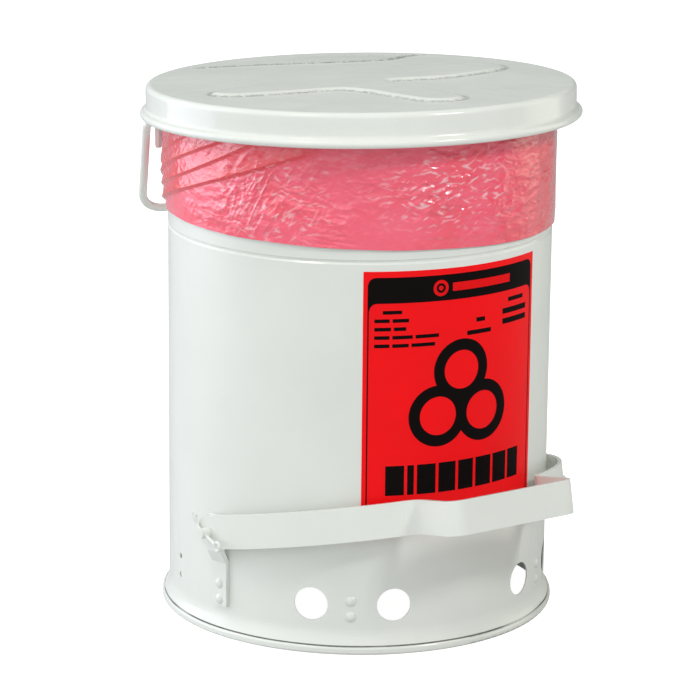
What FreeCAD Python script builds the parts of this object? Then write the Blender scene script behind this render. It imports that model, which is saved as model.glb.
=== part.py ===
"""Foot-operated waste bin: a round sheet-steel can on a ventilated skirt, with an overhanging
lid, a plastic liner, a front pedal strap, a hidden lift rod at the rear and a carry handle.

Frame: origin at the centre of the base on the floor, +Z up, front (pedal and label) along -Y,
+X to the right seen from the front. Millimetres and degrees.
"""
import FreeCAD, Part
import math
import os
import Sketcher

doc = FreeCAD.newDocument("waste_bin")
vec = FreeCAD.Vector
UP = vec(0, 0, 1)
ALONG_X = vec(1, 0, 0)

# ---------------------------------------------------------------------------------------
# Driving dimensions
# ---------------------------------------------------------------------------------------
DIMENSIONS = {
    # steel can
    "body_radius": 145.6, "wall": 1.0, "shell_foot": 96.7, "rim_centre": 389.0,
    "rim_bead": 2.2, "groove_level": 295.2, "groove_depth": 0.9,
    # ventilated skirt and the ring it stands on
    "flare_radius": 149.4, "flare_top": 20.0, "ring_radius": 151.0, "ring_inner": 145.2,
    "ring_height": 6.5, "vent_radius": 12.5, "vent_level": 37.0, "vent_inner_angle": 23.3,
    "vent_outer_angle": 47.5, "pan_level": 97.0, "pan_flange": 7.0,
    # label and liner
    "label_bottom": 98.6, "label_top": 288.5, "label_from": -33.2, "label_to": 26.7,
    "label_thickness": 0.25, "liner_inner": 141.6, "liner_bottom": 101.0,
    "liner_thickness": 0.8, "cuff_top": 393.0, "cuff_bottom": 302.0, "cuff_radius": 149.5,
    "cuff_hem_radius": 148.0,
    # lid, level as when fully shut; it rests slightly open on the folded liner
    "lid_top": 397.0, "lid_radius": 161.7, "lid_edge": 4.0, "lid_bead_centre": 163.2,
    "lid_bead": 3.0, "lid_bead_level": 375.0, "lid_rest_angle": 1.6,
    "rib_height": 1.6, "rib_width": 30.0, "rib_reach": 127.0,
    # lid hinge and the lever that opens it
    "hinge_y": 186.0, "hinge_z": 374.0, "hinge_pin_radius": 3.0, "hinge_half_span": 24.0,
    "lever_reach": 28.3, "lever_angle": 30.0, "lever_pin_radius": 3.0, "arm_gap": 13.0,
    "plate": 3.0, "hinge_plate_width": 62.0, "hinge_plate_low": 216.0, "hinge_plate_high": 276.0,
    "flange_width": 66.0, "flange_low": 381.0, "flange_height": 12.0, "flange_thickness": 2.0,
    # pedal
    "pivot_y": -34.0, "pivot_z": 83.0, "pivot_half_span": 163.6, "crank_radius": 4.0,
    "crank_reach": 163.0, "crank_drop": 10.0, "crank_half_width": 56.0,
    "crank_shoulder": 128.0, "crank_bend": 14.0, "strap_radius": 160.0, "strap_width": 25.4,
    "strap_rise": 12.0, "strap_front": 198.3, "strap_half_front": 57.0, "strap_offset": 7.5,
    "strap_bend": 13.0, "strap_tail": 10.0, "spacer_radius": 7.0, "spacer_height": 2.2,
    # split pins in the ends of the journals
    "cotter_wire": 1.2, "cotter_seat": 160.3, "cotter_eye": 3.2, "cotter_lift": 16.0, "cotter_length": 20.0,
    # brackets of the pedal pivot
    "bracket_angle": 77.8, "bracket_width": 15.0, "bracket_foot": 23.3, "bracket_top": 94.0,
    "bracket_flat": 57.0, "bracket_rise": 9.0, "bracket_joggle": 4.5,
    "rivet_radius": 2.5, "rivet_head": 4.0, "rivet_rise": 1.8, "drain_radius": 2.2,
    # lift rod
    "rod_y": 161.5, "rod_radius": 3.0, "rod_bend": 9.0, "rod_travel": 28.3,
    "foot_length": 21.0, "foot_height": 17.0, "foot_thickness": 6.0, "foot_slot": 12.5,
    "foot_lead": 1.25, "head_thickness": 8.0, "head_length": 16.5, "head_height": 15.0,
    "guide_width": 36.0, "guide_height": 14.0, "guide_plate": 2.0,
    # carry handle
    "handle_x": 124.0, "handle_y": 106.6, "handle_z": 366.0, "handle_low_x": 92.5,
    "handle_low_y": 169.0, "handle_low_z": 283.0, "handle_wire": 3.15, "handle_bend": 30.0,
    "handle_tip_x": 109.5, "handle_eye_bend": 5.0, "ear_corner": 7.0, "ear_rivet_spread": 8.0,
    "ear_radius": 152.5, "ear_foot": 347.0, "ear_top": 378.0, "ear_width": 22.0,
    # running clearance of every shaft in its hole
    "running_gap": 0.06,
}

sheet = doc.addObject("Spreadsheet::Sheet", "dims")
for row, (alias, value) in enumerate(DIMENSIONS.items(), start=1):
    sheet.set(f"A{row}", alias)
    sheet.set(f"B{row}", str(value))
    sheet.setAlias(f"B{row}", alias)
doc.recompute()


def size(name):
    """A driving dimension as a plain number."""
    return float(sheet.get(name))


# ---------------------------------------------------------------------------------------
# Small building functions
# ---------------------------------------------------------------------------------------
def bind(obj, **properties):
    """Set properties: text is an expression on the sheet, anything else is a value."""
    for name, value in properties.items():
        path = name.replace("__", ".")
        if isinstance(value, str):
            obj.setExpression(path, value)
        else:
            setattr(obj, name, value)
    return obj


def primitive(kind, name, **properties):
    return bind(doc.addObject(kind, name), **properties)


def cylinder(name, radius, height, **placement):
    return primitive("Part::Cylinder", name, Radius=radius, Height=height, **placement)


def cut(label, base, tools):
    """Cut a list of tools from a base; the result carries the label."""
    tool = tools[0]
    if len(tools) > 1:
        tool = doc.addObject("Part::MultiFuse", label + "_tools")
        tool.Shapes = tools
    result = doc.addObject("Part::Cut", label)
    result.Base = base
    result.Tool = tool
    return result


def fused(label, shapes):
    result = doc.addObject("Part::MultiFuse", label)
    result.Shapes = shapes
    return result


def feature(label, shape, placement=None):
    """A sub-part whose shape is worked out here, from sizes read from the sheet."""
    obj = doc.addObject("Part::Feature", label)
    obj.Shape = shape
    if placement:
        obj.Placement = placement
    return obj


def origin_plane(body, role):
    return next(item for item in body.Origin.OriginFeatures if item.Role == role)


def outline(body, plane, points):
    """A closed sketch of straight sides whose corners are expressions on the sheet."""
    sketch = body.newObject("Sketcher::SketchObject", body.Name + "_outline")
    sketch.AttachmentSupport = (origin_plane(body, plane), [""])
    sketch.MapMode = "FlatFace"
    corners = [vec(number(x), number(y), 0) for x, y in points]
    count = len(corners)
    for side in range(count):
        sketch.addGeometry(Part.LineSegment(corners[side], corners[(side + 1) % count]), False)
    for side in range(count):
        sketch.addConstraint(Sketcher.Constraint("Coincident", side, 2, (side + 1) % count, 1))
    for side, (x, y) in enumerate(points):
        for kind, text, value in (("DistanceX", x, corners[side].x),
                                  ("DistanceY", y, corners[side].y)):
            index = sketch.addConstraint(Sketcher.Constraint(kind, -1, 1, side, 1, value))
            sketch.setExpression(f"Constraints[{index}]", text)
    return sketch


def number(expression):
    """The value of an expression on the sheet."""
    value = sheet.evalExpression(expression)
    return float(getattr(value, "Value", value))


def revolved(label, points, angle="360"):
    """A body turned about the can's axis; points are (radius, height) expressions."""
    body = doc.addObject("PartDesign::Body", label)
    sketch = outline(body, "XZ_Plane", points)
    doc.recompute()
    turn = body.newObject("PartDesign::Revolution", label + "_turn")
    turn.Profile = sketch
    turn.ReferenceAxis = (sketch, ["V_Axis"])
    turn.setExpression("Angle", angle)
    doc.recompute()
    return body


def round_edges(body, radius, level, rounding):
    """Fillet the circular edge of a turned body that has this radius and height."""
    base = body.Tip
    names = [f"Edge{index}" for index, edge in enumerate(base.Shape.Edges, start=1)
             if isinstance(edge.Curve, Part.Circle) and abs(edge.Curve.Radius - radius) < 0.01
             and abs(edge.Curve.Center.z - level) < 0.01]
    fillet = body.newObject("PartDesign::Fillet", body.Name + "_rounding")
    fillet.Base = (base, names)
    fillet.Radius = rounding
    doc.recompute()


def polar(radius, angle, height):
    """A point at an angle from the front, positive to the right."""
    turn = math.radians(angle)
    return vec(radius * math.sin(turn), -radius * math.cos(turn), height)


def bend_path(points, radii):
    """Straight runs through the points, joined by tangent arcs, one radius for each corner."""
    edges = []
    cursor = points[0]
    for before, corner, after, radius in zip(points, points[1:], points[2:], radii):
        to_before = (before - corner).normalize()
        to_after = (after - corner).normalize()
        half = to_before.getAngle(to_after) / 2.0
        setback = radius / math.tan(half)
        start, end = corner + to_before * setback, corner + to_after * setback
        bisector = (to_before + to_after).normalize()
        middle = corner + bisector * (radius / math.sin(half) - radius)
        edges.append(Part.LineSegment(cursor, start).toShape())
        edges.append(Part.Arc(start, middle, end).toShape())
        cursor = end
    edges.append(Part.LineSegment(cursor, points[-1]).toShape())
    return Part.Wire(edges)


def round_bar(path, radius):
    """A round bar swept along a path of runs and arcs."""
    start = path.Edges[0].Vertexes[0].Point
    heading = path.Edges[0].tangentAt(path.Edges[0].FirstParameter)
    section = Part.Wire([Part.Circle(start, heading, radius).toShape()])
    return path.makePipeShell([section], True, False)


def rivet(base, outward, stem_length, stem_radius, head_radius, rise):
    """A rivet: a stem inward from the base point and a low domed head outward from it."""
    ball_radius = (head_radius ** 2 + rise ** 2) / (2 * rise)
    half = math.asin(head_radius / ball_radius) / 2
    shoulder = vec(ball_radius * math.sin(half), 0, rise - ball_radius * (1 - math.cos(half)))
    rim, crown = vec(head_radius, 0, 0), vec(0, 0, rise)
    sides = [vec(0, 0, -stem_length), vec(stem_radius, 0, -stem_length), vec(stem_radius, 0, 0), rim]
    edges = [Part.LineSegment(start, end).toShape() for start, end in zip(sides, sides[1:])]
    edges.append(Part.Arc(rim, shoulder, crown).toShape())
    edges.append(Part.LineSegment(crown, sides[0]).toShape())
    solid = Part.Face(Part.Wire(edges)).revolve(vec(0, 0, 0), UP, 360)
    solid.Placement = FreeCAD.Placement(base, FreeCAD.Rotation(UP, outward))
    return solid


def along_x(middle, half_length, radius):
    """A round bar or bore along X, centred on a point."""
    return Part.makeCylinder(radius, 2 * half_length, middle - ALONG_X * half_length, ALONG_X)


def drilled(shape, holes):
    for hole in holes:
        shape = shape.cut(hole)
    return shape


def about_x(angle, y, z):
    """The placement that turns a piece about an axis along X through (y, z)."""
    return FreeCAD.Placement(vec(0, 0, 0), FreeCAD.Rotation(ALONG_X, angle), vec(0, y, z))


def on_wall(angle):
    """The placement that takes +X outward, at an angle from the front."""
    return FreeCAD.Placement(vec(0, 0, 0), FreeCAD.Rotation(UP, angle - 90))


# ---------------------------------------------------------------------------------------
# Places worked out from the driving dimensions
# ---------------------------------------------------------------------------------------
PIVOT = vec(0, size("pivot_y"), size("pivot_z"))
HINGE = vec(0, size("hinge_y"), size("hinge_z"))
crank_slope = math.radians(size("crank_drop"))
CROSSBAR = PIVOT + vec(0, math.cos(crank_slope), -math.sin(crank_slope)) * size("crank_reach")
lever_slope = math.radians(size("lever_angle"))
LEVER = HINGE - vec(0, math.cos(lever_slope), math.sin(lever_slope)) * size("lever_reach")
LID_REST = about_x(-size("lid_rest_angle"), HINGE.y, HINGE.z)
LEVEL_LEVER = about_x(size("lid_rest_angle"), HINGE.y, HINGE.z).multVec(LEVER)
VENT_ANGLES = [side * angle + turn for turn in (0, 180) for side in (-1, 1)
               for angle in (size("vent_inner_angle"), size("vent_outer_angle"))]
GUIDE_LEVELS = (200.0, 130.0)
# rivets through the wall: angle from the front and level
BRACKET_RIVETS = [(side * size("bracket_angle"), level) for side in (-1, 1)
                  for level in (28.3, 40.7)]
SKIRT_RIVETS = [(side * 35.8, level) for side in (-1, 1) for level in (28.0, 40.0)]
HINGE_RIVETS = [(180 + side * 5.2, level) for side in (-1, 1) for level in (228.0, 262.0)]
GUIDE_RIVETS = [(180 + side * 4.8, level) for side in (-1, 1)
                for level in GUIDE_LEVELS]
LID_RIVETS = [(180 + side * 8.5, size("flange_low") + size("flange_height") / 2) for side in (-1, 1)]
DRAIN_HOLES = [(-100.8, level) for level in (31.0, 45.6)]
FLARE_STEPS = 6


# ---------------------------------------------------------------------------------------
# The steel can
# ---------------------------------------------------------------------------------------
def make_body_shell():
    outer = "dims.body_radius"
    inner = "dims.body_radius - dims.wall"
    groove = [("dims.groove_level - 2 * dims.groove_depth", "0"),
              ("dims.groove_level - 0.7 * dims.groove_depth", "dims.groove_depth"),
              ("dims.groove_level + 0.7 * dims.groove_depth", "dims.groove_depth"),
              ("dims.groove_level + 2 * dims.groove_depth", "0")]
    points = [(inner, "dims.shell_foot"), (outer, "dims.shell_foot")]
    points += [(f"{outer} - {depth}", level) for level, depth in groove]
    points += [(outer, "dims.rim_centre"), (inner, "dims.rim_centre")]
    points += [(f"{inner} - {depth}", level) for level, depth in reversed(groove)]
    body = revolved("body_shell_wall", points)
    curl = primitive("Part::Torus", "rim_curl", Radius1="dims.body_radius + 0.5",
                     Radius2="dims.rim_bead",
                     Placement__Base__z="dims.rim_centre")
    stems = wall_stems(HINGE_RIVETS + GUIDE_RIVETS) + ear_stems()
    holes = feature("body_shell_holes", Part.makeCompound(stems))
    return cut("body_shell", fused("body_shell_sheet", [body, curl]), [holes])


def make_base_skirt():
    spread = "(dims.flare_radius - dims.body_radius)"
    drop = "(dims.flare_top - dims.ring_height)"
    flare = [(f"dims.body_radius + {spread} * {step ** 2 / FLARE_STEPS ** 2}",
              f"dims.flare_top - {drop} * {step / FLARE_STEPS}")
             for step in range(FLARE_STEPS + 1)]
    points = [("dims.body_radius", "dims.shell_foot")] + flare
    points += [(f"{radius} - dims.wall", level) for radius, level in reversed(flare)]
    points.append(("dims.body_radius - dims.wall", "dims.shell_foot"))
    skirt = revolved("base_skirt_sheet", points)
    tools = []
    for angle in VENT_ANGLES:
        turn = FreeCAD.Rotation(UP, polar(1, angle, 0))
        hole = cylinder("vent_hole", "dims.vent_radius", "dims.body_radius + 20")
        hole.Placement = FreeCAD.Placement(vec(0, 0, size("vent_level")), turn)
        tools.append(hole)
    # the crank journals and the lift rod pass through the skirt
    journals = cylinder("journal_holes", "dims.crank_radius + 0.6", "2 * dims.body_radius")
    journals.Placement = FreeCAD.Placement(vec(-size("body_radius"), PIVOT.y, PIVOT.z),
                                           FreeCAD.Rotation(UP, ALONG_X))
    slot = primitive("Part::Box", "rod_slot", Length="2 * dims.rod_radius + 4", Width="20",
                     Height="dims.rod_travel + 2 * dims.rod_radius + 6")
    slot.Placement.Base = vec(-size("rod_radius") - 2, size("body_radius") - 10,
                              CROSSBAR.z - size("rod_radius") - 3)
    small = wall_stems(BRACKET_RIVETS + SKIRT_RIVETS)
    small += [wall_stem(angle, level, size("drain_radius")) for angle, level in DRAIN_HOLES]
    tools += [journals, slot, feature("skirt_small_holes", Part.makeCompound(small))]
    return cut("base_skirt", skirt, tools)


def make_base_ring():
    points = [("dims.ring_inner", "0"), ("dims.ring_radius", "0"),
              ("dims.ring_radius", "dims.ring_height"), ("dims.ring_inner", "dims.ring_height")]
    body = revolved("base_ring", points)
    for level in (0.0, size("ring_height")):
        round_edges(body, size("ring_radius"), level, 2.4)
    return body


def make_bottom_pan():
    outer = "dims.body_radius - dims.wall"
    flange_inner = "dims.body_radius - 2 * dims.wall"
    under = "dims.pan_level - dims.pan_flange"
    points = [("0", "dims.pan_level"), (flange_inner, "dims.pan_level"), (flange_inner, under),
              (outer, under), (outer, "dims.pan_level + dims.wall"),
              ("0", "dims.pan_level + dims.wall")]
    return revolved("bottom_pan", points)


def make_label():
    """A thin film wrapped part of the way round the wall."""
    outer = "dims.body_radius + dims.label_thickness"
    points = [("dims.body_radius", "dims.label_bottom"), (outer, "dims.label_bottom"),
              (outer, "dims.label_top"), ("dims.body_radius", "dims.label_top")]
    band = revolved("label", points, "dims.label_to - dims.label_from")
    # turned so that its middle lies midway between the two edges that the sheet gives
    middle = band.Shape.CenterOfMass
    made_at = math.degrees(math.atan2(middle.x, -middle.y))
    wanted = (size("label_from") + size("label_to")) / 2
    band.Placement = FreeCAD.Placement(vec(0, 0, 0), FreeCAD.Rotation(UP, wanted - made_at))
    return band


def make_liner():
    skin = "dims.liner_thickness"
    low = "dims.liner_bottom"
    outer = f"dims.liner_inner + {skin}"
    under_top = f"dims.cuff_top - {skin}"
    points = [
        ("0", low), (f"{outer} - 10", low), (outer, f"{low} + 11"), (outer, under_top),
        (f"dims.cuff_radius - {skin}", under_top),
        (f"dims.cuff_radius - {skin}", "dims.cuff_top - 8"),
        (f"dims.cuff_hem_radius - {skin}", "dims.cuff_bottom"),
        ("dims.cuff_hem_radius", "dims.cuff_bottom"),
        ("dims.cuff_radius", "dims.cuff_top - 8"), ("dims.cuff_radius", "dims.cuff_top"),
        ("dims.liner_inner", "dims.cuff_top"), ("dims.liner_inner", f"{low} + 11.5"),
        (f"{outer} - 10.5", f"{low} + {skin}"), ("0", f"{low} + {skin}")]
    bag = revolved("liner_bag_film", points)
    pierced = feature("liner_bag_holes", Part.makeCompound(ear_stems(1.0)))
    return cut("liner_bag", bag, [pierced])


# ---------------------------------------------------------------------------------------
# Brackets, ears, guides and their rivets, all fixed to the can
# ---------------------------------------------------------------------------------------
def wall_stem(angle, level, radius=size("rivet_radius"), wall=size("body_radius")):
    """A rivet's shank, or a round hole, radially through a wall."""
    out = polar(1, angle, 0)
    return Part.makeCylinder(radius, 12, out * (wall - 6) + UP * level, out)


def wall_stems(places):
    return [wall_stem(angle, level) for angle, level in places]


def ear_angle():
    return math.degrees(math.atan2(size("handle_x"), -size("handle_y")))


def ear_rivet_seats():
    """(point, direction) of each rivet on a handle ear's outer face, just under the rim."""
    seats = []
    for side in (-1, 1):
        out = polar(1, side * ear_angle(), 0)
        face = out * (size("ear_radius") + size("plate")) + UP * (size("ear_top") - 5)
        across = UP.cross(out) * size("ear_rivet_spread")
        seats += [(face - across, out), (face + across, out)]
    return seats


def ear_stems(extra=0.0):
    """The rivet shanks that stand the handle ears off the can, or wider holes for them."""
    radius = size("rivet_radius") + extra
    return [Part.makeCylinder(radius, 14, seat, out * -1) for seat, out in ear_rivet_seats()]


def make_pivot_bracket(side, label):
    """A flat strap, joggled outward behind the pedal, drilled along X for the journal."""
    body = doc.addObject("PartDesign::Body", label + "_strip")
    near, far = "dims.body_radius", "dims.body_radius + dims.bracket_joggle"
    thick, flat, rise = "dims.plate", "dims.bracket_flat", "dims.bracket_rise"
    points = [(near, "dims.bracket_foot"), (f"{near} + {thick}", "dims.bracket_foot"),
              (f"{near} + {thick}", flat), (f"{far} + {thick}", f"{flat} + {rise}"),
              (f"{far} + {thick}", "dims.bracket_top"), (far, "dims.bracket_top"),
              (far, f"{flat} + {rise} + 0.4 * {thick}"), (near, f"{flat} + 0.4 * {thick}")]
    sketch = outline(body, "XZ_Plane", points)
    pad = body.newObject("PartDesign::Pad", label + "_pad")
    pad.Profile = sketch
    pad.Midplane = True
    pad.setExpression("Length", "dims.bracket_width")
    doc.recompute()
    body.Placement = on_wall(side * size("bracket_angle"))
    bearing = along_x(PIVOT, size("pivot_half_span") + 10, size("crank_radius") + size("running_gap"))
    holes = [bearing] + wall_stems(BRACKET_RIVETS)
    return cut(label, body, [feature(label + "_holes", Part.makeCompound(holes))])


def wall_rivets(label, places, plate_thickness):
    """Domed rivets through the wall and a plate on it, all in one node."""
    seat = size("body_radius") + plate_thickness
    solids = []
    for angle, level in places:
        out = polar(1, angle, 0)
        solids.append(rivet(out * seat + UP * level, out, plate_thickness + size("wall") + 1.5,
                            size("rivet_radius"), size("rivet_head"), size("rivet_rise")))
    return feature(label, Part.makeCompound(solids))


def make_pivot_spacers():
    """A ring on each bracket's outer face, round the journal."""
    rings = []
    bore = along_x(PIVOT, size("pivot_half_span") + 10, size("crank_radius") + 0.9)
    for side in (-1, 1):
        out = polar(1, side * size("bracket_angle"), 0)
        seat = size("body_radius") + size("bracket_joggle") + size("plate")
        centre = vec((seat - PIVOT.y * out.y) / out.x, PIVOT.y, PIVOT.z)
        ring = Part.makeCylinder(size("spacer_radius"), size("spacer_height"), centre, out)
        rings.append(ring.cut(bore))
    return feature("pivot_spacers", Part.makeCompound(rings))


def rear_plate(width, low, high, thickness):
    """A plate rolled to the can's wall at the rear."""
    inner = size("body_radius")
    ring = Part.makeCylinder(inner + thickness, high - low, vec(0, 0, low))
    ring = ring.cut(Part.makeCylinder(inner, high - low, vec(0, 0, low)))
    block = Part.makeBox(width, 60, high - low, vec(-width / 2, inner - 30, low))
    return ring.common(block)


def side_plate(points, x, thickness):
    """A flat plate across X from an outline of (y, z) points."""
    wire = Part.makePolygon([vec(x, y, z) for y, z in points + points[:1]])
    return Part.Face(wire).extrude(vec(thickness, 0, 0))


def make_hinge_bracket():
    """A rolled base on the rear wall with two ears that rise outside the liner's fold."""
    base = rear_plate(size("hinge_plate_width"), size("hinge_plate_low"), size("hinge_plate_high"),
                      size("plate"))
    back = size("body_radius") - 1
    y, z = HINGE.y, HINGE.z
    profile = [(back, 222), (155, 224), (157, 276), (172, 302), (y + 7, z - 34), (y + 12.5, z - 2),
               (y + 6, z + 7), (y - 5, z + 7), (y - 9, z), (y - 13, z - 29), (159, 318), (156, 296),
               (back, 270)]
    ears = []
    for side in (-1, 1):
        x = side * size("hinge_half_span") - (size("plate") if side > 0 else 0)
        ears.append(side_plate(profile, x, size("plate")))
    bracket = base.fuse(ears)
    bracket = bracket.cut(Part.makeCylinder(size("body_radius"), 120, vec(0, 0, 200)))
    holes = [along_x(HINGE, 40, size("hinge_pin_radius"))] + wall_stems(HINGE_RIVETS)
    return feature("hinge_bracket", drilled(bracket, holes).removeSplitter())


def make_hinge_pin():
    half = size("hinge_half_span")
    shank = along_x(HINGE, half + 1.5, size("hinge_pin_radius"))
    heads = [along_x(HINGE + ALONG_X * (side * (half + 1)), 1, 5.0) for side in (-1, 1)]
    return feature("hinge_pin", shank.fuse(heads).removeSplitter())


def make_handle_ear(side, label):
    """A plate that hangs outside the liner, drilled along X for the end of the handle."""
    turn = on_wall(side * ear_angle())
    width, foot = size("ear_width"), size("ear_foot")
    plate = Part.makeBox(size("plate"), width, size("ear_top") - foot,
                         vec(size("ear_radius"), -width / 2, foot))
    corners = [edge for edge in plate.Edges
               if abs(edge.tangentAt(edge.FirstParameter).x) > 0.9 and edge.BoundBox.ZMin < foot + 1]
    plate = plate.makeFillet(size("ear_corner"), corners)
    plate.Placement = turn
    bearing = along_x(vec(0, size("handle_y"), size("handle_z")), size("body_radius"),
                      size("handle_wire") + size("running_gap"))
    return feature(label, drilled(plate, [bearing] + ear_stems()))


def make_ear_rivets():
    stem = size("ear_radius") + size("plate") - size("body_radius") + 1.7
    solids = [rivet(seat, out, stem, size("rivet_radius"), size("rivet_head"), size("rivet_rise"))
              for seat, out in ear_rivet_seats()]
    return feature("handle_ear_rivets", Part.makeCompound(solids))


def make_rod_guide(level, label):
    """A saddle riveted to the rear wall that guides the lift rod."""
    high, wall = size("guide_height"), size("body_radius")
    low = level - high / 2
    base = rear_plate(size("guide_width"), low, low + high, size("guide_plate"))
    block = Part.makeBox(high, size("rod_y") + 6 - wall, high, vec(-high / 2, wall - 1, low))
    block = block.cut(Part.makeCylinder(wall, 2 * high, vec(0, 0, low - high / 2)))
    bore = Part.makeCylinder(size("rod_radius") + size("running_gap"), 4 * high,
                             vec(0, size("rod_y"), level - 2 * high))
    guide = drilled(base.fuse(block), [bore] + wall_stems(GUIDE_RIVETS))
    return feature(label, guide.removeSplitter())


# ---------------------------------------------------------------------------------------
# Pedal: the flat strap in front and the round crank behind turn as one about the journals
# ---------------------------------------------------------------------------------------
def strap_edge(half_front, inset):
    """One long edge of the band's right half, set in from its outside: from the tail round
    the arm's arc, through the outward bend and the front corner to the middle of the front."""
    radius = size("strap_radius") - inset
    x_side = half_front - inset
    y_front = inset - size("strap_front")
    concave = size("strap_bend") + inset
    convex = size("strap_bend") - inset
    # the outward bend touches the arm's arc on the line between the two centres
    reach = radius + concave
    hub = vec(x_side + concave, -math.sqrt(reach ** 2 - (x_side + concave) ** 2), 0)
    touch = hub * (radius / reach)
    tail = math.degrees(math.acos(-(PIVOT.y + size("strap_tail")) / size("strap_radius")))
    arm_middle = (tail + math.degrees(math.atan2(touch.x, -touch.y))) / 2
    half_turn = (math.atan2(-hub.y, -hub.x) + math.pi) / 2
    bend_middle = hub + vec(math.cos(half_turn), math.sin(half_turn), 0) * concave
    run_start = vec(x_side, hub.y, 0)
    run_end = vec(x_side, y_front + convex, 0)
    corner_middle = run_end + vec(math.cos(math.pi / 4) - 1, -math.sin(math.pi / 4), 0) * convex
    front_end = vec(x_side - convex, y_front, 0)
    return [Part.Arc(polar(radius, tail, 0), polar(radius, arm_middle, 0), touch).toShape(),
            Part.Arc(touch, bend_middle, run_start).toShape(),
            Part.LineSegment(run_start, run_end).toShape(),
            Part.Arc(run_end, corner_middle, front_end).toShape(),
            Part.LineSegment(front_end, vec(0, y_front, 0)).toShape()]


def strap_half(half_front):
    """The right half of the band as a solid, standing on the level of the origin."""
    outside, inside = strap_edge(half_front, 0), strap_edge(half_front, size("plate"))
    closing = [Part.LineSegment(one.Vertexes[end].Point, other.Vertexes[end].Point).toShape()
               for one, other, end in ((outside[0], inside[0], 0), (outside[-1], inside[-1], 1))]
    face = Part.Face(Part.Wire(Part.__sortEdges__(outside + inside + closing)))
    return face.extrude(UP * size("strap_width"))


def make_pedal_strap():
    """One flat band: two arms round the can, bent outward, and a straight front to step on.
    The front is set to the right of the middle."""
    half, shift, width = size("strap_half_front"), size("strap_offset"), size("strap_width")
    left = strap_half(half - shift).mirror(vec(0, 0, 0), ALONG_X)
    band = strap_half(half + shift).fuse(left).removeSplitter()
    band.translate(UP * (PIVOT.z - width / 2))
    tail_corners = [edge for edge in band.Edges
                    if edge.Length < size("plate") * 1.2
                    and abs(edge.tangentAt(edge.FirstParameter).z) < 0.1
                    and edge.BoundBox.YMin > PIVOT.y]
    band = band.makeFillet(width * 0.42, tail_corners)
    bore = along_x(PIVOT, 200, size("crank_radius"))
    return feature("pedal_strap", band.cut(bore), about_x(-size("strap_rise"), PIVOT.y, PIVOT.z))


def make_lift_crank():
    """Round rod: journal, arm, crossbar, arm, journal, with a cotter hole in each journal."""
    ends = vec(size("pivot_half_span"), 0, 0)
    shoulder = vec(size("crank_shoulder"), 0, 0)
    bar = vec(size("crank_half_width"), 0, 0)
    path = bend_path([PIVOT - ends, PIVOT - shoulder, CROSSBAR - bar, CROSSBAR + bar,
                      PIVOT + shoulder, PIVOT + ends], [size("crank_bend")] * 4)
    rod = round_bar(path, size("crank_radius"))
    holes = [Part.makeCylinder(size("cotter_wire"), 30, seat - COTTER_HEADING * 15, COTTER_HEADING)
             for seat in COTTER_SEATS]
    return feature("lift_crank", drilled(rod, holes))


cotter_slope = math.radians(size("cotter_lift"))
COTTER_HEADING = vec(0, math.cos(cotter_slope), math.sin(cotter_slope))
COTTER_SEATS = [PIVOT + ALONG_X * (side * size("cotter_seat")) for side in (-1, 1)]


def make_cotter_pins():
    """Split pins: an eye in front, a shank through the journal and two legs curled up behind."""
    eye_radius, wire = size("cotter_eye"), size("cotter_wire")
    rise = ALONG_X.cross(COTTER_HEADING)
    solids = []
    for seat in COTTER_SEATS:
        eye = Part.makeTorus(eye_radius, wire, seat - COTTER_HEADING * size("cotter_length"), ALONG_X)
        shank_start = seat - COTTER_HEADING * (size("cotter_length") - eye_radius)
        split = seat + COTTER_HEADING * 6
        pin = eye.fuse(Part.makeCylinder(wire, shank_start.distanceToPoint(split), shank_start,
                                         COTTER_HEADING))
        for offset, curl, sweep in ((0.5, 7.5, 1.7), (-0.5, 15.0, 1.05)):
            hub = split - COTTER_HEADING * 0.6 + rise * (offset + curl)
            points = [hub + (COTTER_HEADING * math.sin(turn) - rise * math.cos(turn)) * curl
                      for turn in (0.0, sweep / 2, sweep)]
            leg = Part.Wire([Part.Arc(*points).toShape()])
            pin = pin.fuse(round_bar(leg, wire * 0.75))
        solids.append(pin.removeSplitter())
    return feature("cotter_pins", Part.makeCompound(solids))


# ---------------------------------------------------------------------------------------
# Lift rod with its slotted foot and head
# ---------------------------------------------------------------------------------------
FOOT = CROSSBAR + vec(0, size("foot_lead"), 0)


def make_rod_foot():
    """A plate across X with a rounded slot along Y, in which the crossbar slides."""
    thick, length, height = size("foot_thickness"), size("foot_length"), size("foot_height")
    plate = Part.makeBox(thick, length, height, FOOT - vec(thick / 2, length / 2, height / 2))
    radius = size("crank_radius") + 0.4
    reach = size("foot_slot") / 2 - radius
    ends = [along_x(FOOT + vec(0, way * reach, 0), 10, radius) for way in (-1, 1)]
    middle = Part.makeBox(20, 2 * reach, 2 * radius, FOOT - vec(10, reach, radius))
    return feature("rod_foot", drilled(plate, ends + [middle]))


def make_rod_head():
    """A fork, open to the front, in which the lever pin slides as the lid turns."""
    room = size("lever_pin_radius") + 0.5
    thick, high = size("head_thickness"), size("head_height")
    plate = Part.makeBox(thick, size("head_length"), high,
                         vec(-thick / 2, size("rod_y") - 10, LEVER.z - high / 2))
    slot = Part.makeBox(20, 20, 2 * room, vec(-10, size("rod_y") - 19.5, LEVER.z - room))
    end = along_x(vec(0, size("rod_y") + 0.5, LEVER.z), 10, room)
    return feature("rod_head", drilled(plate, [slot, end]))


def make_lift_rod():
    foot_end = FOOT + vec(0, size("foot_length") / 2, 0)
    corner = vec(0, size("rod_y"), CROSSBAR.z)
    top = vec(0, size("rod_y"), LEVER.z - size("head_height") / 2)
    path = bend_path([foot_end, corner, top], [size("rod_bend")])
    return feature("lift_rod", round_bar(path, size("rod_radius")))


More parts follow.
